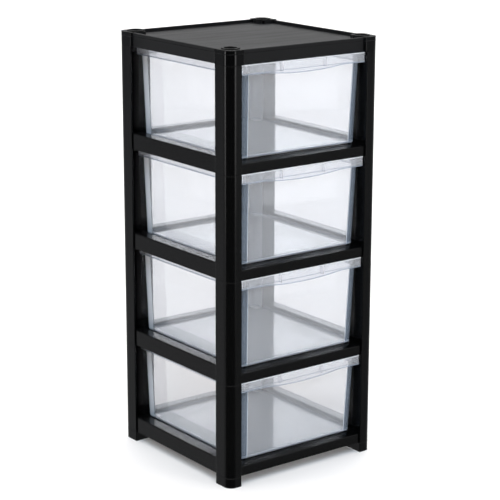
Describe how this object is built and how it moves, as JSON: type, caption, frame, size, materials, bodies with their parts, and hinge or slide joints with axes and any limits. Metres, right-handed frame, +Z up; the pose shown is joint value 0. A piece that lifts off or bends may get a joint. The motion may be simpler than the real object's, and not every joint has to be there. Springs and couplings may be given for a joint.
{
  "type": "storage tower with drawers",
  "caption": "Floor-standing storage tower of stacked black frames with a sunk lid, short feet and clear open-top drawers that slide out at the front.",
  "frame": {"origin": "on the floor under the middle of the tower", "axes": "+Z up, drawers open towards -Y, +X to the right when facing the drawers"},
  "size_m": [0.382, 0.39, 0.9],
  "materials": {
    "black_plastic": "satin black moulded plastic",
    "black_lid": "black moulded plastic, finely textured panel",
    "clear_plastic": "clear moulded plastic"
  },
  "bodies": {
    "tower": {"lid": "black_lid", "frame_base": "black_plastic", "frame_lower": "black_plastic", "frame_middle": "black_plastic", "frame_upper": "black_plastic", "foot_back_right": "black_plastic", "foot_back_left": "black_plastic", "foot_front_right": "black_plastic", "foot_front_left": "black_plastic", "cap_back_right": "black_plastic", "cap_back_left": "black_plastic", "cap_front_right": "black_plastic", "cap_front_left": "black_plastic"},
    "drawer_base": {"drawer_base": "clear_plastic"},
    "drawer_lower": {"drawer_lower": "clear_plastic"},
    "drawer_middle": {"drawer_middle": "clear_plastic"},
    "drawer_upper": {"drawer_upper": "clear_plastic"}
  },
  "joints": [
    {"name": "drawer_base_slide", "type": "slide", "parent": "tower", "child": "drawer_base", "axis": [0, -1, 0], "range_m": [0, 0.29]},
    {"name": "drawer_lower_slide", "type": "slide", "parent": "tower", "child": "drawer_lower", "axis": [0, -1, 0], "range_m": [0, 0.29]},
    {"name": "drawer_middle_slide", "type": "slide", "parent": "tower", "child": "drawer_middle", "axis": [0, -1, 0], "range_m": [0, 0.29]},
    {"name": "drawer_upper_slide", "type": "slide", "parent": "tower", "child": "drawer_upper", "axis": [0, -1, 0], "range_m": [0, 0.29]}
  ]
}
